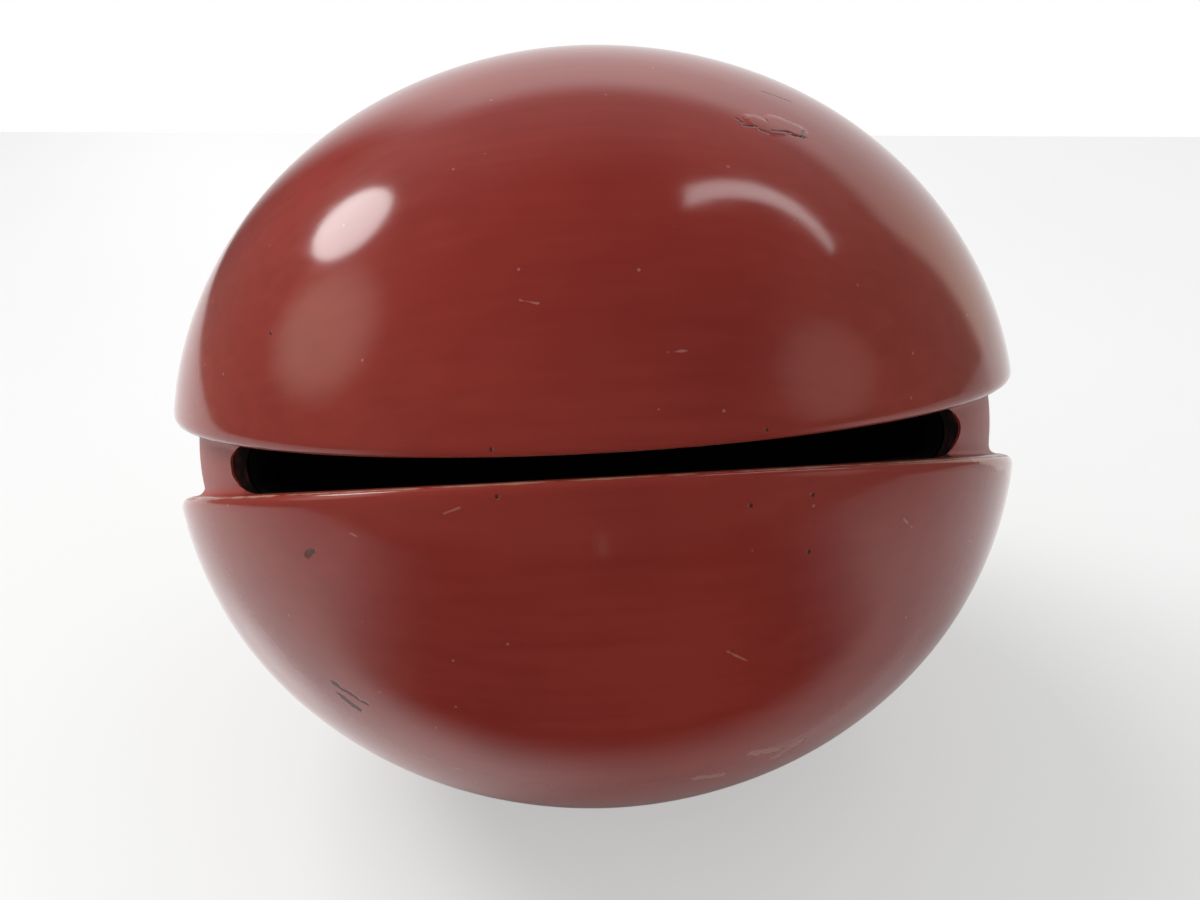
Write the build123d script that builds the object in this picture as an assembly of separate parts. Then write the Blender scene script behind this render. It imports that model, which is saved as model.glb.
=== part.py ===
from build123d import *
import os
from math import cos, hypot, radians, sin, tan

# A mokugyo: a slit drum carved from one block, hollowed through its mouth and lacquered.
# It is drawn with the mouth's middle plane level and the mouth facing -Y, then leant back
# onto the small flat that it stands on. Sizes are in millimetres, angles in degrees.

# Body, over the lacquer
body_width = 150.0
body_depth = 140.0
body_height = 136.0

# Mouth: two flat lip faces that spread apart towards the back
mouth_gap = 2.6
lip_slope = 6.0
lip_rounding = 1.8
mouth_length = 102.0
mouth_tip_height = 8.0

# Blind groove that carries the mouth round both sides to a round end
groove_depth = 4.0
groove_end = 6.0

# Wood left between the hollow and the lacquered surface
crown_wall = 10.0
keel_wall = 14.0
side_wall = 13.0
front_wall = 11.0
back_wall = 19.0

# Loop handle left standing on the back of the block, with a round jewel in its middle. Its inset is
# from the crown, and from the keel, in to the middle of the bar
handle_inset = 37.0
handle_stand_off = 26.0
handle_root_depth = 18.0
handle_width = 22.0
handle_thickness = 14.0
handle_root_rounding = 7.0
jewel_diameter = 25.0

# Coats, from the wood outwards, and the black inside the mouth
ground_thickness = 0.5
undercoat_thickness = 0.3
vermilion_thickness = 0.4
lining_thickness = 0.4

# Stance: how far the drum leans back, and how much is planed off to give it a foot
lean_back = 25.0
foot_planed = 3.6

# Cutting shapes run this far past what they cut
overrun = 2.0

# The eggs' seams lie back on the left, clear of the mouth, the handle and the foot
seam_turn = 135.0

# The coats' surfaces, as depths under the finished surface
under_vermilion = vermilion_thickness
under_black = under_vermilion + undercoat_thickness
bare_wood = under_black + ground_thickness

half_width = body_width / 2
half_depth = body_depth / 2
half_height = body_height / 2
slope = radians(lip_slope)
lean = radians(lean_back)
groove_end_radius = mouth_gap / 2 * cos(slope) + (groove_end + half_depth) * sin(slope)
handle_root = half_depth - handle_root_depth
handle_back = half_depth + handle_stand_off
handle_span = body_height - 2 * handle_inset
stance_height = hypot(half_depth * sin(lean), half_height * cos(lean)) - foot_planed


def egg_of(radii):
    """A whole egg with these three radii, from an upper and a lower half."""
    upper = Sphere(1, arc_size1=0, arc_size2=90, align=None)
    lower = Sphere(1, arc_size1=-90, arc_size2=0, align=None)
    return scale(Rot(Z=seam_turn) * upper, by=radii) + scale(Rot(Z=seam_turn) * lower, by=radii)


def egg(depth_under):
    """The drum's egg shape, this deep under its finished surface."""
    return egg_of((half_width - depth_under, half_depth - depth_under, half_height - depth_under))


def on_egg(edge, depth_under, within=0.01):
    """Whether an edge's middle lies on the egg's surface at this depth."""
    middle = edge @ 0.5
    across = middle.X / (half_width - depth_under)
    along = middle.Y / (half_depth - depth_under)
    up = middle.Z / (half_height - depth_under)
    return abs(across**2 + along**2 + up**2 - 1) < within


def lip_wedge(depth_under):
    """The space between the lips, from side to side, this much wider all round."""
    front = -half_depth - overrun
    nose = mouth_gap / 2 + depth_under / cos(slope) - overrun * tan(slope)
    end_radius = groove_end_radius + depth_under
    bend = groove_end - end_radius * sin(slope)
    bend_height = end_radius * cos(slope)
    outline = [
        Line((front, nose), (bend, bend_height)),
        ThreePointArc((bend, bend_height), (groove_end + end_radius, 0), (bend, -bend_height)),
        Line((bend, -bend_height), (front, -nose)),
        Line((front, -nose), (front, nose)),
    ]
    return extrude(Plane.YZ * make_face(outline), body_width, both=True)


def handle_bar(depth_under):
    """The loop handle's bar, this deep under its finished surface."""
    loop = Plane.YZ * EllipticalCenterArc(
        (handle_root, 0), handle_back - handle_root, handle_span / 2, start_angle=-90, arc_size=180
    )
    start = Plane(loop @ 0, x_dir=(1, 0, 0), z_dir=loop % 0)
    section = Ellipse(handle_width / 2 - depth_under, handle_thickness / 2 - depth_under)
    return sweep(start * section, loop)


def drum_with_grooves(depth_under):
    """The egg with its lips rounded over the groove that runs round the front and sides."""
    groove = lip_wedge(depth_under) - egg(groove_depth + depth_under)
    drum = egg(depth_under) - groove
    lips = [
        edge
        for edge in drum.edges()
        if on_egg(edge, depth_under) and abs((edge @ 0.5).Z) < groove_end_radius
        and (edge @ 0.5).Y < groove_end + 2 * groove_end_radius
    ]
    return fillet(lips, lip_rounding - depth_under)


def carved_form(depth_under):
    """The whole outside with its grooves and handle, this deep under its finished surface."""
    block = drum_with_grooves(depth_under) + handle_bar(depth_under)
    roots = [
        edge
        for edge in block.edges()
        if on_egg(edge, depth_under)
        and abs((edge @ 0.5).X) < handle_width
        and (edge @ 0.5).Y > handle_root
        and abs((edge @ 0.5).Z) > handle_thickness
    ]
    block = fillet(roots, handle_root_rounding + depth_under)
    return block + Pos(0, handle_back, 0) * Sphere(jewel_diameter / 2 - depth_under)


def mouth_slot(wider):
    """The slot from the front through to the hollow, this much wider all round."""
    outline = Plane.XZ * SlotOverall(mouth_length + 2 * wider, mouth_tip_height + 2 * wider)
    return extrude(outline, half_depth + overrun) & lip_wedge(wider)


def hollow(wider):
    """The hollow inside the drum, this much larger all round."""
    radii = (
        half_width - side_wall + wider,
        half_depth - (front_wall + back_wall) / 2 + wider,
        half_height - (crown_wall + keel_wall) / 2 + wider,
    )
    middle = Pos(0, (front_wall - back_wall) / 2, (keel_wall - crown_wall) / 2)
    return middle * egg_of(radii)


def stand(piece):
    """Lean a piece back onto the table and plane it off level with the foot."""
    table = Pos(0, 0, -half_height) * Box(2 * body_width, 2 * body_depth, body_height)
    return Pos(0, 0, stance_height) * Rot(X=-lean_back) * piece - table


finished = carved_form(0.0)
black_surface = carved_form(under_vermilion)
ground_surface = carved_form(under_black)
wood_surface = carved_form(bare_wood)
slot = mouth_slot(0.0)
opening = slot + hollow(0.0)
bored = mouth_slot(lining_thickness) + hollow(lining_thickness)

pieces = {
    "carved_wood_body": wood_surface - bored,
    "clay_ground_coat": ground_surface - wood_surface - slot,
    "black_undercoat": black_surface - ground_surface - slot,
    "vermilion_top_coat": finished - black_surface - slot,
    "black_mouth_lining": (wood_surface & bored) - opening,
}

os.makedirs("parts", exist_ok=True)
for name, piece in pieces.items():
    export_step(stand(piece), f"parts/{name}.step")
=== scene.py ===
from math import asin, atan2, cos, hypot, pi, radians, sin, sqrt, tan

import bmesh
import bpy
from mathutils import Matrix, Vector, noise


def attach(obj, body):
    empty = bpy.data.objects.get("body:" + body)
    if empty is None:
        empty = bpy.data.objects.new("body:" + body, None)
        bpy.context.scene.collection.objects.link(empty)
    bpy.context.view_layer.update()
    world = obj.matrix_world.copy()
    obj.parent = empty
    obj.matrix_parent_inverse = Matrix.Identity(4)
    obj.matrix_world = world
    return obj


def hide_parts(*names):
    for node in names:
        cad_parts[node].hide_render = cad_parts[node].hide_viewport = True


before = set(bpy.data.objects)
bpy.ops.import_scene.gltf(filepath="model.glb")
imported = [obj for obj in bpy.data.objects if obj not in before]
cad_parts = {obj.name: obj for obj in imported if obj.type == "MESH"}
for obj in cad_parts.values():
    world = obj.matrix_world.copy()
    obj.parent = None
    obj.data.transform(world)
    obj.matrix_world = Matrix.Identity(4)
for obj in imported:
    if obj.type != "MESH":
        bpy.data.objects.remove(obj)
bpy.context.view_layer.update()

bl_info = {
    "name": "Mokugyo",
    "version": (1, 0, 0),
    "blender": (4, 5, 0),
    "location": "View3D > Sidebar > Mokugyo",
    "description": "The lacquered skin, the finishes and the studio of a mokugyo slit drum",
    "category": "Mesh",
}


def length(name, metres, about):
    """A length property, in metres."""
    return bpy.props.FloatProperty(name=name, description=about, default=metres, unit="LENGTH", precision=4)


def angle(name, degrees, about):
    """An angle property, given in degrees."""
    return bpy.props.FloatProperty(name=name, description=about, default=radians(degrees), unit="ROTATION")


def colour(name, value, about):
    """A linear colour property."""
    return bpy.props.FloatVectorProperty(
        name=name, description=about, default=value, subtype="COLOR", size=3, min=0.0, max=1.0
    )


def amount(name, value, about):
    """A plain number property."""
    return bpy.props.FloatProperty(name=name, description=about, default=value, precision=4)


class DrumSizes(bpy.types.PropertyGroup):
    """Sizes of the lacquered skin, with the mouth level and facing -Y before the drum is leant back."""

    width: length("Width", 0.150, "Across the egg, over the lacquer")
    depth: length("Depth", 0.140, "From the front of the egg to its back")
    height: length("Height", 0.136, "From the keel of the egg to its crown")
    gap: length("Mouth gap", 0.0026, "Between the lips at the middle of the front")
    slope: angle("Lip slope", 6.0, "How far each lip opens towards the back")
    groove_depth: length("Groove depth", 0.004, "From the surface down to the groove's floor")
    groove_end: length("Groove end", 0.006, "Behind the middle, where the groove's round end is centred")
    front_rounding: length("Front lip rounding", 0.0013, "Radius of the lips' edges in front")
    side_rounding: length("Side lip rounding", 0.0023, "Radius of the lips' edges round the sides")
    floor_rounding: length("Floor rounding", 0.0012, "Radius in the corners of the groove's floor")
    mouth_half: length("Half mouth", 0.0545, "From the middle to where the red stops short of the opening")
    mouth_bulge: length("Mouth bulge", 0.002, "How far the red's edge is rounded back there")
    lean: angle("Lean", 25.0, "How far the drum leans back on its foot")
    planed: length("Planed", 0.0036, "How much is planed off to make the foot")
    bow_root: length("Bow root", 0.052, "Behind the middle, where the handle's bow starts")
    bow_back: length("Bow back", 0.096, "Behind the middle, the bar's centre at the back of the bow")
    bow_span: length("Bow span", 0.062, "Between the bar's centres at the roots")
    bar_width: length("Bar width", 0.022, "Across the handle's bar")
    bar_thickness: length("Bar thickness", 0.014, "Through the handle's bar")
    root_width: length("Root width", 0.036, "Across the spread root of the handle")
    root_height: length("Root height", 0.028, "Height of the spread root of the handle")
    root_drop: length("Root drop", 0.0033, "How much nearer the middle a spread root lies than its bar")
    jewel: length("Jewel", 0.025, "Diameter of the round jewel in the handle")
    coat: length("Coat", 0.0004, "Thickness of the red coat")
    build_up: length("Build-up", 0.0012, "Thickness of all the coats on the wood")
    waviness: length("Waviness", 0.00012, "How far the hand-cut surface dips")
    wave_length: length("Wave length", 0.022, "Distance between the dips of the hand-cut surface")


class DrumColours(bpy.types.PropertyGroup):
    """Colours of the finishes."""

    red_deep: colour("Deep red", (0.186, 0.018, 0.014), "The red lacquer where it is thick and dark")
    red_bright: colour("Bright red", (0.250, 0.030, 0.021), "The red lacquer where it is thin and clear")
    # Groove red is partly the clearer red lacquer in the groove and partly painted light: it is made
    # brighter to stand in for the light that the groove's floor catches
    red_groove_and_painted_light: colour("Groove red", (0.320, 0.045, 0.034), "The clear red lacquer in the groove")
    # Chalky red is scraped dull lacquer; on the chips it is also a painted highlight on the lifted flakes
    red_chalk_and_glint: colour("Chalky red", (0.42, 0.22, 0.19), "The red lacquer where it is scraped dull")
    lip_clay: colour("Lip clay", (0.34, 0.22, 0.14), "Primer that shows along the rubbed lower lip")
    lip_brown: colour("Lip brown", (0.16, 0.055, 0.035), "Thin brown lacquer along the rubbed upper lip")
    smut: colour("Smut", (0.006, 0.005, 0.005), "Black paint at the ends of the mouth")
    soot: colour("Soot", (0.030, 0.011, 0.009), "Dark smudges in the groove")
    black: colour("Black", (0.030, 0.028, 0.026), "The black inside the mouth")
    wood_pale: colour("Pale wood", (0.44, 0.28, 0.15), "The wood's early growth")
    wood_dark: colour("Dark wood", (0.25, 0.13, 0.06), "The wood's late growth")
    clay: colour("Clay", (0.46, 0.38, 0.27), "The pale primer")
    table: colour("Table", (0.86, 0.865, 0.86), "The pale table top")


class DrumStudio(bpy.types.PropertyGroup):
    """The camera's place against the level mouth, and the light."""

    away: length("Away", 0.1905, "From the middle of the drum out to the camera")
    over: length("Over", 0.01246, "Camera above the mouth's plane")
    beside: length("Beside", 0.0, "Camera to the right of the drum's middle")
    turn: angle("Turn", -0.22, "Camera turned left")
    tip: angle("Tip", 4.96, "Camera tipped down from the mouth's plane")
    roll: angle("Roll", 3.02, "Camera rolled so that the mouth rises to the right")
    field: angle("Field of view", 62.02, "Across the picture")
    table_back: length("Table back", 0.53, "From the drum to the table's far edge")
    table_turn: angle("Table turn", -14.0, "How far the table's far edge is turned")
    paleness: amount("Paleness", 0.55, "How far the table's shadows are lifted in the picture")
    sky: amount("Sky", 0.85, "Brightness of the wall behind, as the lacquer mirrors it")
    dusk: amount("Dusk", 0.08, "Brightness of the dim room, as the lacquer mirrors it")
    arc: amount("Arc", 4.7, "Brightness of the bent strip of light")
    fill: amount("Fill", 0.62, "Brightness of the even light from all round")


# The starting sphere's columns, counted round from the front, and rows, counted up from its middle
COLUMNS = 128
RINGS = 64
ROWS = RINGS // 2
COLUMN_STEP = 2 * pi / COLUMNS
ROW_STEP = pi / RINGS

# The row that follows the lips, the column where the groove ends, and the columns over which that row
# runs level again behind it
LIP_ROW = 2
GROOVE_COLUMN = 37
LEVELLING_COLUMNS = 8

# How many columns each side of the middle, and which rows, the handle's roots take up at the back
ROOT_COLUMNS = 5
ROOT_ROWS = (4, 14)

# Where along the bow the spread of a root ends, at its sides and at its top, in degrees
ROOT_TURNS = (64.0, 76.0)

# How hard the curve of a root's spread is pulled along the egg and along the bar
ROOT_PULL = 0.42

# Rounds after which a search has settled: for the lip's height, and for the bar's seam on the jewel
LIP_ROUNDS = 20
SEAM_ROUNDS = 40


def blend(low, high, share):
    """From low to high as share goes from 0 to 1."""
    return low + (high - low) * share


def ease(share):
    """A share held between 0 and 1, with a soft start and end."""
    held = min(max(share, 0.0), 1.0)
    return held * held * (3 - 2 * held)


class Egg:
    """An egg with three half-axes, seen from its front at -Y."""

    def __init__(self, half_width, half_depth, half_height):
        self.axes = Vector((half_width, half_depth, half_height))

    def at(self, azimuth, latitude):
        """The point at an angle round from the front and an angle up from the middle."""
        a, b, c = self.axes
        ring = cos(latitude)
        return Vector((a * ring * sin(azimuth), -b * ring * cos(azimuth), c * sin(latitude)))

    def side(self, y, z, sign):
        """The point with this y and z on the right (sign 1) or left (sign -1)."""
        a, b, c = self.axes
        return Vector((sign * a * sqrt(max(0.0, 1 - (y / b) ** 2 - (z / c) ** 2)), y, z))

    def back(self, x, z):
        """The point with this x and z on the back."""
        a, b, c = self.axes
        return Vector((x, b * sqrt(max(0.0, 1 - (x / a) ** 2 - (z / c) ** 2)), z))

    def normal(self, point):
        """The outward direction at a point of the surface."""
        return Vector(p / axis**2 for p, axis in zip(point, self.axes)).normalized()

    def along(self, start, direction, leaving=True):
        """Where a line from start along direction last leaves the egg, or first meets it."""
        d = Vector(v / axis for v, axis in zip(direction, self.axes))
        s = Vector(v / axis for v, axis in zip(start, self.axes))
        half = d.dot(s) / d.dot(d)
        rest = (s.dot(s) - 1) / d.dot(d)
        reach = sqrt(max(0.0, half * half - rest))
        return start + direction * (-half + (reach if leaving else -reach))


class LipSpot:
    """One place on the mouth's edge, with the section of the lip there."""

    def __init__(self, corner, out, into, rounding, through):
        self.corner = corner
        self.out = out
        self.into = into
        self.rounding = rounding
        self.through = through

    def rounded(self, turn):
        """A point on the rounded edge, turned from the outside towards the lip's face."""
        centre = self.corner + self.rounding * (self.into - self.out)
        return centre + self.rounding * (self.out * cos(turn) - self.into * sin(turn))

    def face(self, depth):
        """A point on the lip's face."""
        return self.corner - self.out * depth


class DrumShape:
    """The drum's surfaces, worked out from its sizes."""

    def __init__(self, sizes):
        self.sizes = sizes
        self.egg = Egg(sizes.width / 2, sizes.depth / 2, sizes.height / 2)
        down = sizes.groove_depth
        self.floor = Egg(sizes.width / 2 - down, sizes.depth / 2 - down, sizes.height / 2 - down)
        half_depth = sizes.depth / 2
        groove_length = sizes.groove_end + half_depth
        self.end_radius = sizes.gap / 2 * cos(sizes.slope) + groove_length * sin(sizes.slope)
        lean = sizes.lean
        self.stance = hypot(half_depth * sin(lean), sizes.height / 2 * cos(lean)) - sizes.planed
        self.jewel_middle = Vector((0, sizes.bow_back, 0))

    def rounding(self, azimuth):
        """The lip rounding this far round from the front."""
        return blend(self.sizes.front_rounding, self.sizes.side_rounding, ease(abs(azimuth) / (pi / 2)))

    def lip_height(self, y, wider):
        """Height of the upper edge of the mouth and groove, opened wider by a margin."""
        s = self.sizes
        radius = self.end_radius + wider
        if y < s.groove_end - radius * sin(s.slope):
            return s.gap / 2 + wider / cos(s.slope) + tan(s.slope) * (y + s.depth / 2)
        return sqrt(max(0.0, radius**2 - (y - s.groove_end) ** 2))

    def lip_latitude(self, azimuth):
        """Latitude at which the rounding of the upper lip starts."""
        latitude = 0.0
        for _ in range(LIP_ROUNDS):
            y = self.egg.at(azimuth, latitude).y
            latitude = asin(self.lip_height(y, self.rounding(azimuth)) / self.egg.axes.z)
        return latitude

    def first_latitude(self, column):
        """Latitude of the row that follows the lips in front and runs on round the back."""
        if abs(column) <= GROOVE_COLUMN:
            return self.lip_latitude(column * COLUMN_STEP)
        end = self.lip_latitude(GROOVE_COLUMN * COLUMN_STEP)
        share = (abs(column) - GROOVE_COLUMN) / LEVELLING_COLUMNS
        return blend(end, LIP_ROW * ROW_STEP, ease(share))

    def grid(self, column, row):
        """Where the vertex of a column and row of the starting sphere goes."""
        first = self.first_latitude(column)
        if abs(column) == GROOVE_COLUMN and abs(row) < LIP_ROW:
            edge = self.egg.at(column * COLUMN_STEP, first)
            reach = self.end_radius + self.rounding(column * COLUMN_STEP)
            turn = atan2(edge.z, edge.y - self.sizes.groove_end) * row / LIP_ROW
            y = self.sizes.groove_end + reach * cos(turn)
            return self.egg.side(y, reach * sin(turn), 1 if column > 0 else -1)
        if abs(row) <= LIP_ROW:
            latitude = first * row / LIP_ROW
        else:
            share = (abs(row) - LIP_ROW) / (ROWS - LIP_ROW)
            latitude = blend(first, pi / 2, share) * (1 if row > 0 else -1)
        return self.egg.at(column * COLUMN_STEP, latitude)

    def lip_spot(self, start):
        """The lip's section at a point where its rounding starts."""
        s = self.sizes
        turn = atan2(abs(start.z), start.y - s.groove_end)
        up = 1 if start.z >= 0 else -1
        steepest = pi / 2 + s.slope
        into = Vector((0, cos(min(turn, steepest)), up * sin(min(turn, steepest))))
        rounding = self.rounding(atan2(start.x / self.egg.axes.x, -start.y / self.egg.axes.y))
        normal = self.egg.normal(start)
        out = (normal - into * normal.dot(into)).normalized()
        corner = self.egg.along(start - into * rounding, out)
        floor_spot = corner - out * s.groove_depth
        return LipSpot(corner, out, into, rounding, abs(floor_spot.x) < s.mouth_half - s.mouth_bulge)

    def bar(self, turn, around):
        """A point on the handle's bar: turn along the bow from its back, and an angle round the bar."""
        s = self.sizes
        reach = s.bow_back - s.bow_root
        rise = s.bow_span / 2
        middle = Vector((0, s.bow_root + reach * cos(turn), rise * sin(turn)))
        outward = Vector((0, rise * cos(turn), reach * sin(turn))).normalized()
        across = Vector((s.bar_width / 2 * cos(around), 0, 0))
        return middle + across + outward * (s.bar_thickness / 2 * sin(around))

    def bar_direction(self, turn):
        """Direction of the bar along the bow."""
        s = self.sizes
        reach = s.bow_back - s.bow_root
        return Vector((0, -reach * sin(turn), s.bow_span / 2 * cos(turn))).normalized()

    def root_edge(self, around):
        """Where the lower root of the handle spreads onto the egg."""
        s = self.sizes
        x = s.root_width / 2 * cos(around)
        z = -(s.bow_span / 2 - s.root_drop) - s.root_height / 2 * sin(around)
        return self.egg.back(x, z)

    def root_turn(self, around):
        """Where along the bow the lower root's spread ends."""
        return -radians(blend(*ROOT_TURNS, sin(around)))

    def root(self, around, share):
        """A point on the spread of the lower root, from the egg (0) to the bar (1)."""
        edge = self.root_edge(around)
        turn = self.root_turn(around)
        end = self.bar(turn, around)
        normal = self.egg.normal(edge)
        axis = self.bar(turn, 0.0) * 0.5 + self.bar(turn, pi) * 0.5 - edge
        inward = (axis - normal * axis.dot(normal)).normalized()
        pull = (end - edge).length * ROOT_PULL
        first = edge + inward * pull
        second = end - self.bar_direction(turn) * pull
        rest = 1 - share
        return rest**3 * edge + 3 * rest**2 * share * first + 3 * rest * share**2 * second + share**3 * end

    def jewel_turn(self, around):
        """Where along the bow the bar meets the jewel."""
        near, far = 0.0, -pi / 3
        for _ in range(SEAM_ROUNDS):
            middle = (near + far) / 2
            if (self.bar(middle, around) - self.jewel_middle).length < self.sizes.jewel / 2:
                near = middle
            else:
                far = middle
        return near

    def jewel_point(self, around, share):
        """A point on the jewel, from its lower seam (0) to its upper seam (1)."""
        low = self.bar(self.jewel_turn(around), around) - self.jewel_middle
        high = Vector((low.x, low.y, -low.z))
        return self.jewel_middle + low.slerp(high, share) * low.length


ROOT_RINGS = 5
BAR_RINGS = 12
JEWEL_RINGS = 10


def handle_rings(shape):
    """Functions that place the rings of the handle, from the lower root round to the upper one."""
    rings = []
    for step in range(1, ROOT_RINGS + 1):
        rings.append(lambda around, share=step / ROOT_RINGS: shape.root(around, share))
    for step in range(1, BAR_RINGS + 1):
        rings.append(
            lambda around, share=step / BAR_RINGS: shape.bar(
                blend(shape.root_turn(around), shape.jewel_turn(around), share), around
            )
        )
    for step in range(1, JEWEL_RINGS // 2 + 1):
        rings.append(lambda around, share=step / JEWEL_RINGS: shape.jewel_point(around, share))
    mirrored = [lambda around, low=ring: low(around) * Vector((1, 1, -1)) for ring in reversed(rings[:-1])]
    return rings + mirrored


def add_piece(name, add, **settings):
    """Add a primitive with nothing else selected, and name it."""
    bpy.ops.object.select_all(action="DESELECT")
    add(**settings)
    piece = bpy.context.active_object
    piece.name = name
    piece.data.name = name
    return piece


def select_only(piece):
    """Make a piece the active and only selected one."""
    bpy.ops.object.select_all(action="DESELECT")
    piece.select_set(True)
    bpy.context.view_layer.objects.active = piece


def start_editing(piece):
    """Open a piece in edit mode."""
    select_only(piece)
    bpy.ops.object.mode_set(mode="EDIT")
    return bmesh.from_edit_mesh(piece.data)


def stop_editing():
    """Leave edit mode."""
    bpy.ops.object.mode_set(mode="OBJECT")


def pick(edges=(), faces=()):
    """Select only these edges or faces."""
    bpy.context.tool_settings.mesh_select_mode = (False, not faces, bool(faces))
    bpy.ops.mesh.select_all(action="DESELECT")
    for part in (*edges, *faces):
        part.select_set(True)


def add_egg(shape):
    """A sphere drawn out to the egg, its rows along the lips, open at the mouth and under the handle."""
    sphere = bpy.ops.mesh.primitive_uv_sphere_add
    piece = add_piece("vermilion_skin", sphere, segments=COLUMNS, ring_count=RINGS, radius=1.0)
    piece.rotation_euler.x = -shape.sizes.lean
    piece.location.z = shape.stance
    bm = start_editing(piece)
    column = bm.verts.layers.int.new("column")
    row = bm.verts.layers.int.new("row")
    for vert in bm.verts:
        vert[column] = round(atan2(vert.co.x, -vert.co.y) / COLUMN_STEP)
        vert[row] = round(asin(max(-1.0, min(1.0, vert.co.z))) / ROW_STEP)
        vert.co = shape.grid(vert[column], vert[row])
    openings = []
    for face in bm.faces:
        rows = [abs(vert[row]) for vert in face.verts]
        columns = [abs(vert[column]) for vert in face.verts if abs(vert[row]) < ROWS]
        in_mouth = max(columns) <= GROOVE_COLUMN and max(rows) <= LIP_ROW
        at_back = min(columns) >= COLUMNS // 2 - ROOT_COLUMNS
        if in_mouth or (at_back and ROOT_ROWS[0] <= min(rows) and max(rows) <= ROOT_ROWS[1]):
            openings.append(face)
    pick(faces=openings)
    bpy.ops.mesh.delete(type="FACE")
    stop_editing()
    return piece


# How worn the lips are where their rounding starts, and how far the floor's corners are cut, as a share
# of their rounding
RIM_WEAR = 0.2
CORNER_CUT = 0.3


def lip_rows(shape):
    """How each extruded row of the lips is placed, how worn it is and how far it is inside the groove."""
    deep = shape.sizes.groove_depth
    corner = shape.sizes.floor_rounding
    cut = CORNER_CUT * corner

    def floor_bend(spot):
        if spot.through:
            return spot.face(deep - corner / 2)
        return spot.face(deep - cut) - spot.into * cut

    def floor_edge(spot):
        if spot.through:
            return spot.face(deep)
        return spot.face(deep) - spot.into * corner

    return (
        (lambda spot: spot.rounded(radians(30)), 0.6, 0.0),
        (lambda spot: spot.rounded(radians(60)), 1.0, 0.2),
        (lambda spot: spot.rounded(radians(90)), 0.5, 0.6),
        (lambda spot: spot.face((spot.rounding + deep - corner) / 2), 0.1, 1.0),
        (lambda spot: spot.face(deep - corner), 0.0, 1.0),
        (floor_bend, 0.0, 1.0),
        (floor_edge, 0.0, 1.0),
    )


def open_edges(bm, shape, at_back):
    """The open edges at the handle's roots, or else those round the mouth and groove."""
    between = shape.sizes.bow_root / 2
    return [edge for edge in bm.edges if edge.is_boundary and (edge.verts[0].co.y > between) == at_back]


def raise_lips(piece, shape):
    """Extrude the mouth's edge row by row, over the rounded lips and down to the groove's floor."""
    bm = start_editing(piece)
    for name in ("lip_edge", "groove", "lower_lip"):
        bm.verts.layers.float.new(name)
    column, row = bm.verts.layers.int["column"], bm.verts.layers.int["row"]
    wear, lower = bm.verts.layers.float["lip_edge"], bm.verts.layers.float["lower_lip"]
    rim = open_edges(bm, shape, at_back=False)
    spots = {}
    for vert in {vert for edge in rim for vert in edge.verts}:
        spots[vert[column], vert[row]] = shape.lip_spot(vert.co)
        vert[wear] = RIM_WEAR
        vert[lower] = 1.0 if vert[row] < 0 else 0.0
    pick(edges=rim)
    for place, worn, within in lip_rows(shape):
        bpy.ops.mesh.extrude_edges_move()
        bm = bmesh.from_edit_mesh(piece.data)
        column, row = bm.verts.layers.int["column"], bm.verts.layers.int["row"]
        wear, inside = bm.verts.layers.float["lip_edge"], bm.verts.layers.float["groove"]
        for vert in (vert for vert in bm.verts if vert.select):
            vert.co = place(spots[vert[column], vert[row]])
            vert[wear] = worn
            vert[inside] = within
    bmesh.update_edit_mesh(piece.data)
    stop_editing()
    return spots


# The red's edge by the mouth: how square it is, how far its brushed line wanders and how often,
# and over how many columns of the floor it fades out
EDGE_SQUARENESS = 0.35
BRUSHED = 0.006
WANDERS = 5
FADING_COLUMNS = 5


def lay_groove_floor(piece, shape, spots):
    """Close the blind ends of the groove with a floor that is round where the mouth opens."""
    bm = start_editing(piece)
    column, row = bm.verts.layers.int["column"], bm.verts.layers.int["row"]
    inside = bm.verts.layers.float["groove"]
    open_verts = {vert for edge in open_edges(bm, shape, at_back=False) for vert in edge.verts}
    rim = {(vert[column], vert[row]): vert for vert in open_verts}
    first = min(abs(key[0]) for key, spot in spots.items() if not spot.through)
    wide, deep, _ = shape.floor.axes
    for side in (1, -1):
        sheet = dict(rim)
        for number in range(first, GROOVE_COLUMN):
            lip = rim[side * number, LIP_ROW].co
            azimuth = atan2(abs(lip.x) / wide, -lip.y / deep)
            if number == first:
                bulge = asin(shape.sizes.mouth_half / wide) - azimuth
            fading = max(0.0, 1 - (number - first) / FADING_COLUMNS)
            for step in range(1 - LIP_ROW, LIP_ROW):
                share = step / LIP_ROW
                latitude = asin(share * lip.z / shape.floor.axes.z)
                bulged = bulge * (1 - share * share) ** EDGE_SQUARENESS
                turn = azimuth + fading * (bulged + BRUSHED * sin(WANDERS * share + side))
                vert = bm.verts.new(shape.floor.at(side * turn, latitude))
                vert[inside] = 1.0
                sheet[side * number, step] = vert
        for number in range(first, GROOVE_COLUMN):
            for step in range(-LIP_ROW, LIP_ROW):
                near, far = side * number, side * (number + 1)
                bm.faces.new(
                    (sheet[near, step], sheet[far, step], sheet[far, step + 1], sheet[near, step + 1])
                )
    bmesh.update_edit_mesh(piece.data)
    stop_editing()


# How far each side of the middle the handle's roots reach, and what smoothing takes off the handle
NEAR_HANDLE = 0.019
SMOOTHED_AWAY = 0.00015


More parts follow.
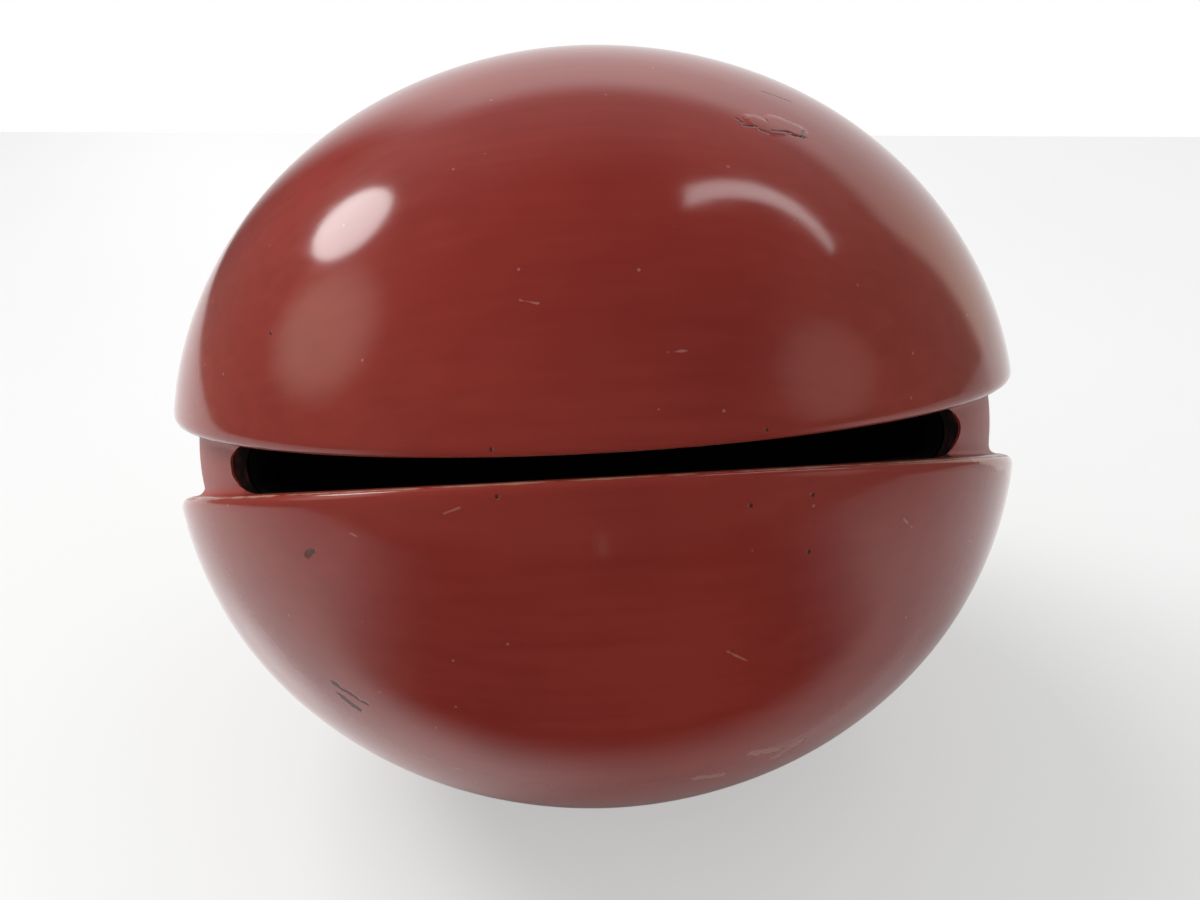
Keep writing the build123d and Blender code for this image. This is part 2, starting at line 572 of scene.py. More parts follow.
def bend_handle(piece, shape):
    """Draw the handle out of the lower root, round past the jewel, and join it to the upper root."""
    bm = start_editing(piece)
    around = bm.verts.layers.float.new("around")
    rims = {1: [], -1: []}
    for edge in open_edges(bm, shape, at_back=True):
        rims[1 if edge.verts[0].co.z > 0 else -1].append(edge)
    s = shape.sizes
    for side, rim in rims.items():
        for vert in {vert for edge in rim for vert in edge.verts}:
            rise = abs(vert.co.z) - (s.bow_span / 2 - s.root_drop)
            vert[around] = atan2(rise / s.root_height, vert.co.x / s.root_width)
            vert.co = shape.root_edge(vert[around]) * Vector((1, 1, -side))
    pick(edges=rims[-1])
    for place in handle_rings(shape):
        bpy.ops.mesh.extrude_edges_move()
        bm = bmesh.from_edit_mesh(piece.data)
        around = bm.verts.layers.float["around"]
        for vert in (vert for vert in bm.verts if vert.select):
            vert.co = place(vert[around])
    for edge in open_edges(bm, shape, at_back=True):
        edge.select_set(True)
    bpy.ops.mesh.bridge_edge_loops()
    bmesh.update_edit_mesh(piece.data)
    stop_editing()
    near = [
        vert.index
        for vert in piece.data.vertices
        if vert.co.y > s.bow_root and abs(vert.co.x) < NEAR_HANDLE
    ]
    piece.vertex_groups.new(name="handle").add(near, 1.0, "REPLACE")
    apply_modifier(
        piece,
        "SHRINKWRAP",
        target=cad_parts["carved_wood_body"],
        wrap_method="NEAREST_SURFACEPOINT",
        wrap_mode="ABOVE_SURFACE",
        offset=s.build_up + SMOOTHED_AWAY,
        vertex_group="handle",
    )


def apply_modifier(piece, kind, **settings):
    """Add a modifier to a piece, set it and apply it."""
    select_only(piece)
    bpy.ops.object.modifier_add(type=kind)
    modifier = piece.modifiers[-1]
    for name, value in settings.items():
        setattr(modifier, name, value)
    bpy.ops.object.modifier_apply(modifier=modifier.name)


# Where the mesh's groove value is lower, the surface is the drum's outside
OUTSIDE = 0.1


def hand_cut(piece, shape):
    """Let the outside dip a little here and there, as a hand-cut surface does."""
    s = shape.sizes
    inside = piece.data.attributes["groove"].data
    outward = [normal.vector.copy() for normal in piece.data.vertex_normals]
    for vert, out, within in zip(piece.data.vertices, outward, inside):
        if within.value < OUTSIDE:
            dip = 0.5 + 0.5 * noise.noise(vert.co / s.wave_length)
            vert.co -= out * (s.waviness * dip)


def stand_on_foot(piece, shape):
    """Give the coat its thickness, lean the piece back and plane the foot flat."""
    start_editing(piece)
    bpy.ops.mesh.select_all(action="SELECT")
    bpy.ops.mesh.normals_make_consistent(inside=False)
    stop_editing()
    apply_modifier(piece, "SOLIDIFY", thickness=shape.sizes.coat, offset=-1.0, use_even_offset=True)
    bpy.ops.object.transform_apply(location=True, rotation=True, scale=True)
    start_editing(piece)
    bpy.ops.mesh.select_all(action="SELECT")
    bpy.ops.mesh.bisect(plane_co=(0, 0, 0), plane_no=(0, 0, 1), clear_inner=True, threshold=1e-7)
    bm = bmesh.from_edit_mesh(piece.data)
    pick(edges=[edge for edge in bm.edges if edge.is_boundary])
    bpy.ops.mesh.bridge_edge_loops()
    stop_editing()


# Edges bent by less than this are shaded smooth
SMOOTHER_THAN = radians(40)


class MOKUGYO_OT_vermilion_skin(bpy.types.Operator):
    """Model the red lacquer skin with its lips, grooves and handle"""

    bl_idname = "mokugyo.vermilion_skin"
    bl_label = "Vermilion skin"
    bl_options = {"REGISTER", "UNDO"}

    def execute(self, context):
        shape = DrumShape(context.scene.mokugyo_sizes)
        piece = add_egg(shape)
        spots = raise_lips(piece, shape)
        lay_groove_floor(piece, shape, spots)
        bend_handle(piece, shape)
        apply_modifier(piece, "SUBSURF", levels=1, render_levels=1)
        hand_cut(piece, shape)
        stand_on_foot(piece, shape)
        bpy.ops.object.shade_smooth_by_angle(angle=SMOOTHER_THAN)
        for name in ("column", "row", "around"):
            piece.data.attributes.remove(piece.data.attributes[name])
        piece.vertex_groups.clear()
        piece.data.materials.clear()
        piece.data.materials.append(vermilion_lacquer(context.scene))
        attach(piece, "root")
        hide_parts("vermilion_top_coat")
        return {"FINISHED"}


def fill(tree, node, sockets):
    """Set a node's sockets to values, or link them."""
    for name, value in sockets.items():
        if isinstance(value, bpy.types.NodeSocket):
            tree.links.new(value, node.inputs[name])
        else:
            node.inputs[name].default_value = value
    return node


def put(tree, kind, sockets=None, **settings):
    """Add a node, set its options and fill its sockets with values or links."""
    node = tree.nodes.new(kind)
    for name, value in settings.items():
        setattr(node, name, value)
    return fill(tree, node, sockets or {})


def feed(tree, shader, **sockets):
    """Fill a shader's sockets, named with underscores for spaces."""
    fill(tree, shader, {name.replace("_", " "): value for name, value in sockets.items()})


def group(tree, source, **sockets):
    """Place a node group with its values."""
    return fill(tree, put(tree, "ShaderNodeGroup", node_tree=source), sockets)


def sums(tree, operation, first, second=0.0, third=0.0):
    """A Math node's result."""
    node = put(tree, "ShaderNodeMath", {0: first, 1: second, 2: third}, operation=operation)
    return node.outputs[0]


def times(tree, first, second):
    """One value times another."""
    return sums(tree, "MULTIPLY", first, second)


def plus(tree, base, value, weight):
    """A base with a weighted value added to it."""
    return sums(tree, "MULTIPLY_ADD", value, weight, base)


def ruffled(tree, base, pattern, weight):
    """A base pushed up and down by a pattern that runs from 0 to 1."""
    return plus(tree, base, sums(tree, "SUBTRACT", pattern, 0.5), weight)


def larger(tree, first, second):
    """The larger of two values."""
    return sums(tree, "MAXIMUM", first, second)


def vector(tree, operation, first, second=(0, 0, 0), output=0):
    """A Vector Math node's result."""
    return put(tree, "ShaderNodeVectorMath", {0: first, 1: second}, operation=operation).outputs[output]


def axes(tree, place):
    """The x, y and z of a place or a direction."""
    return put(tree, "ShaderNodeSeparateXYZ", {0: place}).outputs


def on_piece(tree):
    """The place on a piece, in metres."""
    return put(tree, "ShaderNodeTexCoord").outputs["Object"]


def attribute(tree, name):
    """A value that the mesh carries."""
    return put(tree, "ShaderNodeAttribute", attribute_name=name).outputs["Fac"]


def fade(tree, value, start, end):
    """0 at start and 1 at end, with a soft change between."""
    sockets = {"Value": value, "From Min": start, "From Max": end, "To Min": 0.0, "To Max": 1.0}
    node = put(tree, "ShaderNodeMapRange", sockets, interpolation_type="SMOOTHSTEP")
    return node.outputs[0]


def solid(value):
    """A colour with its alpha, or a socket as it is."""
    return value if isinstance(value, bpy.types.NodeSocket) else (*value, 1.0)


def tint(tree, share, first, second):
    """One colour going over into another."""
    sockets = {0: share, 6: solid(first), 7: solid(second)}
    return put(tree, "ShaderNodeMix", sockets, data_type="RGBA").outputs[2]


def painted(tree, ground, paint, share, strength):
    """A ground with paint on it where share is 1, as strong as this."""
    return tint(tree, times(tree, share, strength), ground, paint)


def relief(tree, height):
    """A normal from heights in metres."""
    return put(tree, "ShaderNodeBump", {"Height": height, "Distance": 1.0, "Strength": 1.0}).outputs[0]


def cloud(tree, place, size, detail=2.0):
    """Soft random patches about this large, from 0 to 1."""
    sockets = {"Vector": place, "Scale": 1 / size, "Detail": detail}
    return put(tree, "ShaderNodeTexNoise", sockets).outputs[0]


def stretched(tree, place, sizes):
    """Coordinates stretched so that a pattern of size 1 has these sizes."""
    sockets = {"Vector": place, "Scale": [1 / size for size in sizes]}
    return put(tree, "ShaderNodeMapping", sockets).outputs[0]


def new_group(name, inputs, outputs):
    """An empty shader group with these sockets, as (name, kind, default) and (name, kind)."""
    tree = bpy.data.node_groups.new(name, "ShaderNodeTree")
    for label, kind, default in inputs:
        tree.interface.new_socket(label, in_out="INPUT", socket_type=kind).default_value = default
    for label, kind in outputs:
        tree.interface.new_socket(label, in_out="OUTPUT", socket_type=kind)
    return tree, tree.nodes.new("NodeGroupInput"), tree.nodes.new("NodeGroupOutput")


# The mottle's sizes with their sockets, their defaults and their detail
MOTTLES = (
    ("Patch", "Patches", 0.03, 3.0),
    ("Fleck", "Flecks", 0.004, 3.0),
    ("Grain", "Grain", 0.0006, 2.0),
)
MOTTLE_ROUGHNESS = 0.55


def mottle_group():
    """Patches in three sizes that tone, rub and grain share."""
    if "mottle" in bpy.data.node_groups:
        return bpy.data.node_groups["mottle"]
    inputs = [(size, "NodeSocketFloat", default) for size, _, default, _ in MOTTLES]
    outputs = [(name, "NodeSocketFloat") for _, name, _, _ in MOTTLES]
    tree, start, end = new_group("mottle", inputs, outputs)
    place = on_piece(tree)
    for size, name, _, detail in MOTTLES:
        scale = sums(tree, "DIVIDE", 1.0, start.outputs[size])
        sockets = {"Vector": place, "Scale": scale, "Detail": detail, "Roughness": MOTTLE_ROUGHNESS}
        tree.links.new(put(tree, "ShaderNodeTexNoise", sockets).outputs[0], end.inputs[name])
    return tree


def mottled(tree, patch, fleck, grain):
    """Patches, flecks and grain of these sizes."""
    return group(tree, mottle_group(), Patch=patch, Fleck=fleck, Grain=grain).outputs


# How far tatters reach over a stroke's width where they are fully ragged, and where its border fades
TATTER_REACH = 4.0
STROKE_BORDER = (1.0, 0.5)


def stroke_group():
    """A ragged stroke between two points."""
    if "stroke" in bpy.data.node_groups:
        return bpy.data.node_groups["stroke"]
    inputs = [
        ("Start", "NodeSocketVector", (0, 0, 0)),
        ("End", "NodeSocketVector", (0, 0, 0)),
        ("Width", "NodeSocketFloat", 0.001),
        ("Ragged", "NodeSocketFloat", 0.5),
        ("Tatter", "NodeSocketFloat", 0.001),
    ]
    tree, begin, end = new_group("stroke", inputs, [("Mask", "NodeSocketFloat")])
    place = on_piece(tree)
    line = vector(tree, "SUBTRACT", begin.outputs["End"], begin.outputs["Start"])
    away = vector(tree, "SUBTRACT", place, begin.outputs["Start"])
    ahead = vector(tree, "DOT_PRODUCT", away, line, "Value")
    whole = vector(tree, "DOT_PRODUCT", line, line, "Value")
    share = put(tree, "ShaderNodeMath", {0: ahead, 1: whole}, operation="DIVIDE", use_clamp=True).outputs[0]
    nearest = put(tree, "ShaderNodeVectorMath", {0: line, "Scale": share}, operation="SCALE").outputs[0]
    aside = vector(tree, "LENGTH", vector(tree, "SUBTRACT", away, nearest), output="Value")
    scale = sums(tree, "DIVIDE", 1.0, begin.outputs["Tatter"])
    torn = put(tree, "ShaderNodeTexNoise", {"Vector": place, "Scale": scale, "Detail": 3.0}).outputs[0]
    shift = times(tree, sums(tree, "SUBTRACT", torn, 0.5), begin.outputs["Ragged"])
    reach = plus(tree, sums(tree, "DIVIDE", aside, begin.outputs["Width"]), shift, TATTER_REACH)
    tree.links.new(fade(tree, reach, *STROKE_BORDER), end.inputs["Mask"])
    return tree


def bare_tree(owner):
    """The emptied node tree of a material or a world."""
    owner.use_nodes = True
    owner.node_tree.nodes.clear()
    return owner.node_tree


def new_material(name):
    """An empty material with a Principled shader on its output."""
    material = bpy.data.materials.new(name)
    tree = bare_tree(material)
    shader = tree.nodes.new("ShaderNodeBsdfPrincipled")
    tree.links.new(shader.outputs[0], tree.nodes.new("ShaderNodeOutputMaterial").inputs[0])
    return material, tree, shader


# Marks in the lacquer, as strokes from one point of the picture to another
PINHOLES = tuple(
    (spot, spot)
    for spot in ((491, 450), (767, 430), (497, 497), (751, 506), (813, 495), (809, 552), (270, 333))
)
SCUFFS = (((306, 554), (312, 551)), ((333, 683), (368, 705)), ((337, 693), (358, 709)))
CRACKS = (
    ((737, 118), (743, 122)),
    ((744, 125), (757, 126)),
    ((760, 129), (769, 133)),
    ((772, 130), (790, 132)),
    ((792, 135), (801, 137)),
    ((801, 137), (804, 130)),
    ((763, 91), (790, 101)),
)
LIFTED = (((757, 121), (772, 127)), ((776, 122), (797, 129)))
CHIPS = (((753, 754), (778, 750)), ((777, 757), (800, 742)), ((697, 779), (722, 776)))
SCRATCHES = (
    ((443, 514), (459, 508)),
    ((349, 533), (357, 537)),
    ((728, 652), (747, 661)),
    ((668, 352), (688, 350)),
    ((520, 300), (538, 303)),
    ((905, 520), (913, 528)),
)

# Each kind of mark: its strokes, how wide they are, how ragged, and the size of their tatters
MARKS = {
    "holes": (PINHOLES, 0.00038, 0.1, 0.001),
    "scuffs": (SCUFFS, 0.0006, 0.7, 0.0012),
    "cracks": (CRACKS, 0.0003, 0.25, 0.0006),
    "lifted": (LIFTED, 0.0022, 0.2, 0.002),
    "chips": (CHIPS, 0.0011, 0.35, 0.001),
    "scratches": (SCRATCHES, 0.0002, 0.7, 0.0015),
}


def marks(tree, scene, strokes, width, ragged, tatter):
    """One mask for strokes of one width."""
    found = None
    for begin, end in strokes:
        ends = {"Start": seen_spot(scene, *begin), "End": seen_spot(scene, *end)}
        mask = group(tree, stroke_group(), **ends, Width=width, Ragged=ragged, Tatter=tatter).outputs[0]
        found = mask if found is None else larger(tree, found, mask)
    return found


# Bright specks in the lacquer: how far apart their cells are, which cells have one and how large it is
SPECK_CELL = 0.004
SPECK_CHOICE = (0.60, 0.62)
SPECK_BORDER = (0.07, 0.04)


def specks(tree, place):
    """A mask of small specks strewn here and there."""
    cells = put(tree, "ShaderNodeTexVoronoi", {"Vector": place, "Scale": 1 / SPECK_CELL}).outputs
    lot = put(tree, "ShaderNodeSeparateColor", {0: cells["Color"]}).outputs[0]
    return times(tree, fade(tree, cells["Distance"], *SPECK_BORDER), fade(tree, lot, *SPECK_CHOICE))


# The frayed wedge: where it starts beside the middle, how it widens, how ragged and soft its border
# is, and where it ends behind and at the lip's edge
FRAY_START = 0.045
FRAY_SPREAD = 0.25
FRAY_RAGGED = 0.004
FRAY_SOFT = 0.0006
FRAY_BACK = (-0.012, -0.026)
FRAY_EDGE = (-0.001, 0.001)


def frayed_end(tree, sizes, place, flecks):
    """A wedge of dull lacquer along the right end of the lower lip, with a ragged border."""
    lying = standing(sizes).inverted()
    sockets = {"Vector": place, "Location": lying.translation, "Rotation": lying.to_euler()}
    x, y, z = axes(tree, put(tree, "ShaderNodeMapping", sockets).outputs[0])
    rise = tan(sizes.slope)
    opening = sums(tree, "MULTIPLY_ADD", y, rise, rise * sizes.depth / 2)
    below = sums(tree, "SUBTRACT", times(tree, z, -1.0), opening)
    reach = times(tree, sums(tree, "SUBTRACT", x, FRAY_START), FRAY_SPREAD)
    torn = ruffled(tree, below, flecks, FRAY_RAGGED)
    wedge = fade(tree, sums(tree, "SUBTRACT", reach, torn), 0.0, FRAY_SOFT)
    wedge = times(tree, wedge, fade(tree, y, *FRAY_BACK))
    return times(tree, wedge, fade(tree, below, *FRAY_EDGE))


# Soot in the groove by the mouth: how far out it reaches, how ragged its border is and where it is thin
SOOT_BORDER = (0.0515, 0.0500)
SOOT_RAGGED = 0.009
SOOT_THIN = (0.45, 0.75)

# Brush streaks in the lacquer: their length, height and depth, and how far they shift its tone
STREAK = (0.06, 0.002, 0.002)
STREAK_SHIFT = 0.35
TONES = (0.2, 0.8)

# Where the lip's wear and the groove, as the mesh carries them, start and end to show
RUB_RAGGED = 0.5
RUB_BORDER = (0.86, 1.0)
INTO_GROOVE = (0.5, 0.9)
OUT_OF_GROOVE = (0.8, 0.4)

# How much each paint or mark hides of what is under it
HIDES = {
    "groove": 0.6,
    "lip": 0.8,
    "frayed": 0.6,
    "soot": 0.5,
    "dents": 0.85,
    "scuffs": 0.75,
    "chips": 0.6,
    "bright": 0.4,
}

# Roughness of the polish, and how much each thing adds to it
POLISH = 0.05
GRAIN_DULLS = 0.08
STREAKS_DULL = 0.06
WEAR_DULLS = 0.3
GROOVE_DULLS = 0.36
SOOT_DULLS = 0.5

# Relief of the lacquer in metres: its ripple and the ripple's length, dents, flakes and wear
RIPPLE = 0.00002
RIPPLE_LENGTH = 0.009
DENT_RISE = -0.00015
FLAKE_RISE = 0.00012
WEAR_RISE = -0.00005


def vermilion_lacquer(scene):
    """Old brown-red lacquer, glossy, with rubbed lips and small marks."""
    colours = scene.mokugyo_colours
    material, tree, shader = new_material("vermilion_lacquer")
    place = on_piece(tree)
    patches, flecks, grain = mottled(tree, patch=0.045, fleck=0.004, grain=0.0004)
    streaks = cloud(tree, stretched(tree, place, STREAK), 1.0, detail=3.0)
    tone = ruffled(tree, patches, streaks, STREAK_SHIFT)
    red = tint(tree, fade(tree, tone, *TONES), colours.red_deep, colours.red_bright)

    inside = attribute(tree, "groove")
    # The groove is painted a brighter red: partly the clearer lacquer, partly painted light on the groove's
    # floor
    red = painted(tree, red, colours.red_groove_and_painted_light, inside, HIDES["groove"])
    rubbed = fade(tree, ruffled(tree, attribute(tree, "lip_edge"), flecks, RUB_RAGGED), *RUB_BORDER)
    lip = tint(tree, attribute(tree, "lower_lip"), colours.lip_brown, colours.lip_clay)
    red = painted(tree, red, lip, rubbed, HIDES["lip"])
    frayed = frayed_end(tree, scene.mokugyo_sizes, place, flecks)
    frayed = times(tree, frayed, fade(tree, inside, *OUT_OF_GROOVE))
    red = painted(tree, red, colours.red_chalk_and_glint, frayed, HIDES["frayed"])

    torn = ruffled(tree, sums(tree, "ABSOLUTE", axes(tree, place)[0]), flecks, SOOT_RAGGED)
    sooty = times(tree, fade(tree, torn, *SOOT_BORDER), fade(tree, inside, *INTO_GROOVE))
    dark = painted(tree, colours.smut, colours.soot, fade(tree, flecks, *SOOT_THIN), HIDES["soot"])
    red = tint(tree, sooty, red, dark)

    mark = {name: marks(tree, scene, *kind) for name, kind in MARKS.items()}
    dents = larger(tree, mark["holes"], mark["cracks"])
    bright = larger(tree, specks(tree, place), mark["scratches"])
    red = painted(tree, red, colours.soot, dents, HIDES["dents"])
    red = painted(tree, red, colours.soot, mark["scuffs"], HIDES["scuffs"])
    # The chips are painted pale: partly scraped lacquer, partly a painted highlight on the lifted flakes
    red = painted(tree, red, colours.red_chalk_and_glint, mark["chips"], HIDES["chips"])
    red = painted(tree, red, colours.red_chalk_and_glint, bright, HIDES["bright"])

    worn = larger(tree, rubbed, larger(tree, mark["scuffs"], mark["chips"]))
    rough = plus(tree, POLISH, grain, GRAIN_DULLS)
    dulled = ((streaks, STREAKS_DULL), (worn, WEAR_DULLS), (inside, GROOVE_DULLS), (sooty, SOOT_DULLS))
    for share, dullness in dulled:
        rough = plus(tree, rough, share, dullness)
    height = times(tree, cloud(tree, place, RIPPLE_LENGTH), RIPPLE)
    for share, rise in ((dents, DENT_RISE), (mark["lifted"], FLAKE_RISE), (worn, WEAR_RISE)):
        height = plus(tree, height, share, rise)
    feed(tree, shader, Base_Color=red, Roughness=rough, Normal=relief(tree, height))
    return material


def mouth_black(scene):
    """Dull black inside the mouth, with dust caught in the chisel marks."""
    colours = scene.mokugyo_colours
    material, tree, shader = new_material("mouth_black")
    patches, flecks, grain = mottled(tree, patch=0.012, fleck=0.003, grain=0.0008)
    shade = tint(tree, fade(tree, patches, 0.5, 0.8), colours.black, colours.soot)
    rough = plus(tree, 0.55, grain, 0.2)
    height = times(tree, flecks, 0.0002)
    feed(tree, shader, Base_Color=shade, Roughness=rough, Normal=relief(tree, height))
    return material


def black_lacquer(scene):
    """Dull black undercoat that shows at the ends of the mouth and as a thin ring on the foot."""
    colours = scene.mokugyo_colours
    material, tree, shader = new_material("black_lacquer")
    patches, flecks, _ = mottled(tree, patch=0.005, fleck=0.002, grain=0.0006)
    shade = tint(tree, fade(tree, patches, 0.42, 0.68), colours.smut, colours.soot)
    rough = plus(tree, 0.7, flecks, 0.25)
    feed(tree, shader, Base_Color=shade, Roughness=rough, Specular_IOR_Level=0.0)
    return material


# Between these heights the primer goes over from its own colour on the foot to black
ABOVE_FOOT = (0.012, 0.020)


def clay_ground(scene):
    """Matt primer with a fine sandy grain, blackened where it comes out at the mouth."""
    colours = scene.mokugyo_colours
    material, tree, shader = new_material("clay_ground")
    _, flecks, grain = mottled(tree, patch=0.01, fleck=0.001, grain=0.0003)
    darker = [0.75 * part for part in colours.clay]
    shade = tint(tree, flecks, darker, colours.clay)
    height = axes(tree, on_piece(tree))[2]
    shade = tint(tree, fade(tree, height, *ABOVE_FOOT), shade, colours.smut)
    sandy = relief(tree, times(tree, grain, 0.00006))
    feed(tree, shader, Base_Color=shade, Roughness=0.85, Specular_IOR_Level=0.0, Normal=sandy)
    return material


# Pores in the wood: their length along the grain, and their height and depth
PORE = (0.012, 0.0005, 0.0005)


def carved_wood(scene):
    """Bare wood with growth rings and pores."""
    colours = scene.mokugyo_colours
    material, tree, shader = new_material("carved_wood")
    place = on_piece(tree)
    _, flecks, _ = mottled(tree, patch=0.02, fleck=0.003, grain=0.0006)
    leaning = put(tree, "ShaderNodeMapping", {"Vector": place, "Rotation": (0.1, 0.0, 0.2)}).outputs[0]
    sockets = {"Vector": leaning, "Scale": 90.0, "Distortion": 2.5, "Detail": 3.0, "Detail Scale": 1.2}
    rings = put(tree, "ShaderNodeTexWave", sockets, wave_type="RINGS", rings_direction="X").outputs[1]
    pores = fade(tree, cloud(tree, stretched(tree, place, PORE), 1.0), 0.62, 0.75)
    shade = tint(tree, plus(tree, rings, flecks, 0.3), colours.wood_pale, colours.wood_dark)
    shade = painted(tree, shade, colours.wood_dark, pores, 0.6)
    height = times(tree, pores, -0.00008)
    feed(tree, shader, Base_Color=shade, Roughness=0.6, Normal=relief(tree, height))
    return material


class MOKUGYO_OT_inner_finishes(bpy.types.Operator):
    """Give the wood, the primer, the undercoat and the mouth their finishes"""

    bl_idname = "mokugyo.inner_finishes"
    bl_label = "Inner finishes"
    bl_options = {"REGISTER", "UNDO"}

    def execute(self, context):
        finishes = {
            "carved_wood_body": carved_wood,
            "clay_ground_coat": clay_ground,
            "black_undercoat": black_lacquer,
            "black_mouth_lining": mouth_black,
        }
        for node, finish in finishes.items():
            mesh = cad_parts[node].data
            mesh.materials.clear()
            mesh.materials.append(finish(context.scene))
        return {"FINISHED"}


def standing(sizes):
    """The matrix that stands the level drum on its foot."""
    return Matrix.Translation((0, 0, DrumShape(sizes).stance)) @ Matrix.Rotation(-sizes.lean, 4, "X")


def camera_place(scene):
    """Where the camera stands and how it is turned."""
    studio = scene.mokugyo_studio
    spot = Matrix.Translation((studio.beside, -studio.away, studio.over))
    aim = Matrix.Rotation(studio.turn, 4, "Z") @ Matrix.Rotation(pi / 2 - studio.tip, 4, "X")
    return standing(scene.mokugyo_sizes) @ spot @ aim @ Matrix.Rotation(-studio.roll, 4, "Z")


# Half the picture's width and height, in its pixels
HALF_ACROSS = 600
HALF_DOWN = 450


def seen_spot(scene, across, down):
    """The point of the drum that the picture shows this far across and down."""
    stands = standing(scene.mokugyo_sizes)
    level = stands.inverted() @ camera_place(scene)
    pixel = tan(scene.mokugyo_studio.field / 2) / HALF_ACROSS
    ray = Vector(((across - HALF_ACROSS) * pixel, (HALF_DOWN - down) * pixel, -1.0))
    egg = DrumShape(scene.mokugyo_sizes).egg
    return stands @ egg.along(level.translation, level.to_3x3() @ ray, leaving=False)


NEAREST_SEEN = 0.005


def add_camera(scene):
    """The camera at the viewing angle."""
    camera = bpy.data.cameras.new("camera")
    camera.sensor_fit = "HORIZONTAL"
    camera.angle = scene.mokugyo_studio.field
    camera.clip_start = NEAREST_SEEN
    item = bpy.data.objects.new("camera", camera)
    item.matrix_world = camera_place(scene)
    scene.collection.objects.link(item)
    scene.camera = item


TABLE_GLOW = 0.95


def table_top(scene):
    """Smooth pale table top, lifted towards white in the picture."""
    material, tree, shader = new_material("table_top")
    patches, _, _ = mottled(tree, patch=0.2, fleck=0.01, grain=0.001)
    pale = scene.mokugyo_colours.table
    darker = [0.97 * part for part in pale]
    shade = tint(tree, patches, darker, pale)
    feed(tree, shader, Base_Color=shade, Roughness=0.2)
    glow = put(tree, "ShaderNodeEmission", {"Color": shade, "Strength": TABLE_GLOW})
    seen = put(tree, "ShaderNodeLightPath").outputs["Is Camera Ray"]
    share = times(tree, seen, scene.mokugyo_studio.paleness)
    mixed = put(tree, "ShaderNodeMixShader", {0: share, 1: shader.outputs[0], 2: glow.outputs[0]})
    tree.links.new(mixed.outputs[0], tree.nodes["Material Output"].inputs[0])
    return material


TABLE_HALF_WIDTH = 0.9
TABLE_FRONT = -0.6
UNDER_FOOT = 0.0001


def add_table(scene):
    """The table, ending behind the drum."""
    studio = scene.mokugyo_studio
    table = add_piece("table", bpy.ops.mesh.primitive_plane_add, size=1.0)
    table.scale = (2 * TABLE_HALF_WIDTH, studio.table_back - TABLE_FRONT, 1.0)
    turned = Matrix.Rotation(studio.table_turn, 3, "Z")
    table.location = turned @ Vector((0, (studio.table_back + TABLE_FRONT) / 2, -UNDER_FOOT))
    table.rotation_euler.z = studio.table_turn
    bpy.ops.object.transform_apply(location=True, rotation=True, scale=True)
    table.data.materials.append(table_top(scene))


# The card's half width and place at its near and far ends, and its height over the table
CARD_NEAR = (0.2, -0.055)
CARD_FAR = (1.5, -0.95)
CARD_HEIGHT = 0.001

# Its dark part: half its width at the near end, how fast it spreads, and where its borders fade
DARK_START = 0.10
DARK_SPREAD = 1.6
DARK_SIDES = (1.0, 0.35)
DARK_NEAR_END = (-0.008, -0.035)


def add_dark_card():
    """A black card on the table in front, seen only as a reflection in the lacquer."""
    card = add_piece("dark_card", bpy.ops.mesh.primitive_plane_add, size=1.0)
    for vert in card.data.vertices:
        half_width, y = CARD_FAR if vert.co.y < 0 else CARD_NEAR
        vert.co = (2 * vert.co.x * half_width, y, CARD_HEIGHT)
    material, tree, shader = new_material("dark_card")
    x, y, _ = axes(tree, on_piece(tree))
    nearness = sums(tree, "SUBTRACT", y, CARD_NEAR[1])
    reach = plus(tree, DARK_START, nearness, -DARK_SPREAD)
    aside = sums(tree, "DIVIDE", sums(tree, "ABSOLUTE", x), reach)
    dark = times(tree, fade(tree, aside, *DARK_SIDES), fade(tree, nearness, *DARK_NEAR_END))
    feed(tree, shader, Base_Color=(0.01, 0.01, 0.01, 1.0), Roughness=1.0, Alpha=dark)
    card.data.materials.append(material)
    card.visible_camera = False
    card.visible_diffuse = False
    card.visible_shadow = False


# Lamps stand this far out from the middle of the drum, and shine at it
DRUM_MIDDLE = Vector((0, 0, 0.09))
LAMP_DISTANCE = 1.4
WINDOW = {"direction": (-0.69, 0.34, 0.64), "size": 0.44, "power": 3.9}
KEY = {"direction": (-0.55, 0.30, 0.78), "size": 1.1, "power": 17.0}


def add_softbox(scene, name, direction, size, power):
    """A round lamp out in this direction that faces the drum."""
    lamp = bpy.data.lights.new(name, "AREA")
    lamp.shape = "DISK"
    lamp.size = size
    lamp.energy = power
    item = bpy.data.objects.new(name, lamp)
    outward = Vector(direction).normalized()
    facing = outward.to_track_quat("Z", "Y").to_matrix().to_4x4()
    item.matrix_world = Matrix.Translation(DRUM_MIDDLE + outward * LAMP_DISTANCE) @ facing
    scene.collection.objects.link(item)
    return item


# Directions from the drum to the strip's start, bend and end, and its widths from start to end
ARC_LINE = (Vector((0.34, 0.15, 0.93)), Vector((0.57, 0.39, 0.78)), Vector((0.78, 0.15, 0.61)))
ARC_WIDTHS = (0.12, 0.055)
ARC_STEPS = 16


def add_light_arc(scene):
    """A bent strip of light on the right that tapers towards its end."""
    grid = bpy.ops.mesh.primitive_grid_add
    strip = add_piece("light_arc", grid, x_subdivisions=ARC_STEPS, y_subdivisions=1, size=2.0)
    start, bend, end = ARC_LINE
    for vert in strip.data.vertices:
        share = (vert.co.x + 1) / 2
        line = start.lerp(bend, share).lerp(bend.lerp(end, share), share)
        inner = -blend(*ARC_WIDTHS, share) if vert.co.y < 0 else 0.0
        vert.co = DRUM_MIDDLE + (line + Vector((0, inner, 0))).normalized() * LAMP_DISTANCE
    material = bpy.data.materials.new("light_arc")
    tree = bare_tree(material)
    glow = put(tree, "ShaderNodeEmission", {"Strength": scene.mokugyo_studio.arc})
    tree.links.new(glow.outputs[0], put(tree, "ShaderNodeOutputMaterial").inputs[0])
    strip.data.materials.append(material)
    strip.visible_camera = False
    strip.visible_shadow = False


